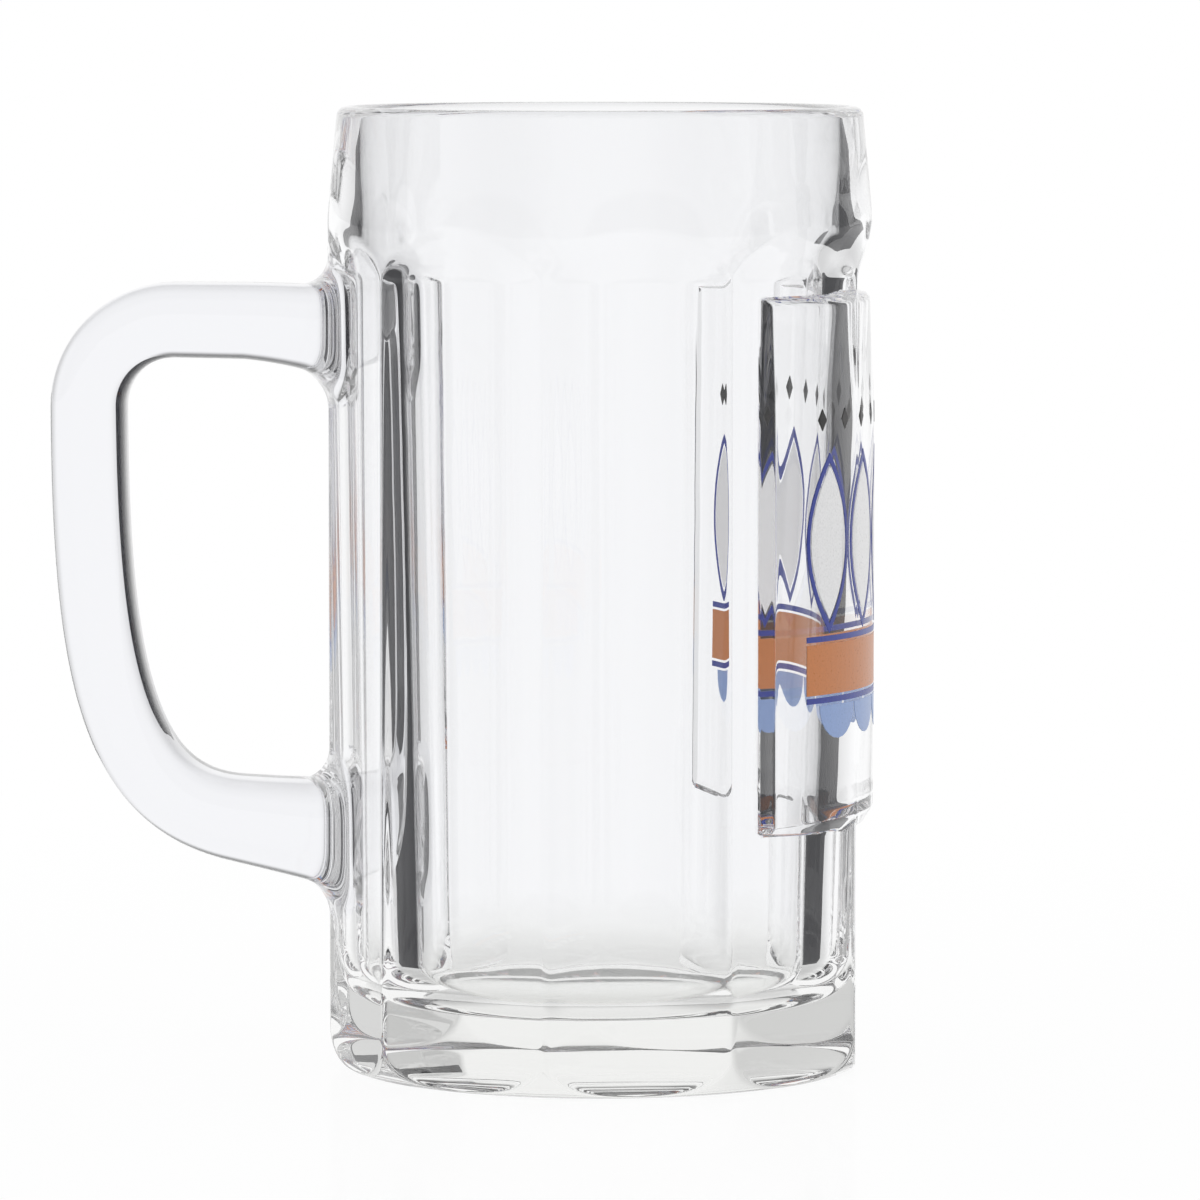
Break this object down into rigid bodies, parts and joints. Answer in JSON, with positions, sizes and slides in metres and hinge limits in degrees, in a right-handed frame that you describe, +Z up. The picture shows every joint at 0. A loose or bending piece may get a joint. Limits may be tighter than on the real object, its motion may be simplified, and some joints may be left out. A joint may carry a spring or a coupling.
{
  "type": "beer mug",
  "caption": "Straight nine-faceted pressed-glass beer mug with a round rim band, thick base, raised printed label field and a loop handle for lifting and drinking.",
  "frame": {"origin": "on the standing plane, under the middle of the whole outline, which lies between the glass axis and the handle", "axes": "+Z up along the glass axis, +X towards the label field, the handle points along -X"},
  "size_m": [0.1324, 0.0872, 0.154],
  "materials": {
    "clear_glass": "polished",
    "ink_copper": "gloss",
    "ink_blue": "gloss",
    "ink_sky": "gloss",
    "ink_white": "gloss",
    "ink_black": "gloss"
  },
  "bodies": {
    "root": {"glass_body": "clear_glass", "glass_handle": "clear_glass", "print_band": "ink_copper", "print_band_line_upper": "ink_blue", "print_band_line_lower": "ink_blue", "print_scallop_1": "ink_sky", "print_scallop_2": "ink_sky", "print_scallop_3": "ink_sky", "print_scallop_4": "ink_sky", "print_scallop_5": "ink_sky", "print_leaf_1": "ink_white", "print_leaf_2": "ink_white", "print_leaf_3": "ink_white", "print_leaf_4": "ink_white", "print_leaf_5": "ink_white", "print_leaf_line_1": "ink_blue", "print_leaf_line_2": "ink_blue", "print_leaf_line_3": "ink_blue", "print_leaf_line_4": "ink_blue", "print_leaf_line_5": "ink_blue", "print_diamond_1": "ink_black", "print_diamond_2": "ink_black", "print_diamond_3": "ink_black", "print_diamond_4": "ink_black", "print_diamond_5": "ink_black", "print_diamond_6": "ink_black", "print_diamond_7": "ink_black", "print_diamond_8": "ink_black", "print_diamond_9": "ink_black"}
  },
  "joints": []
}
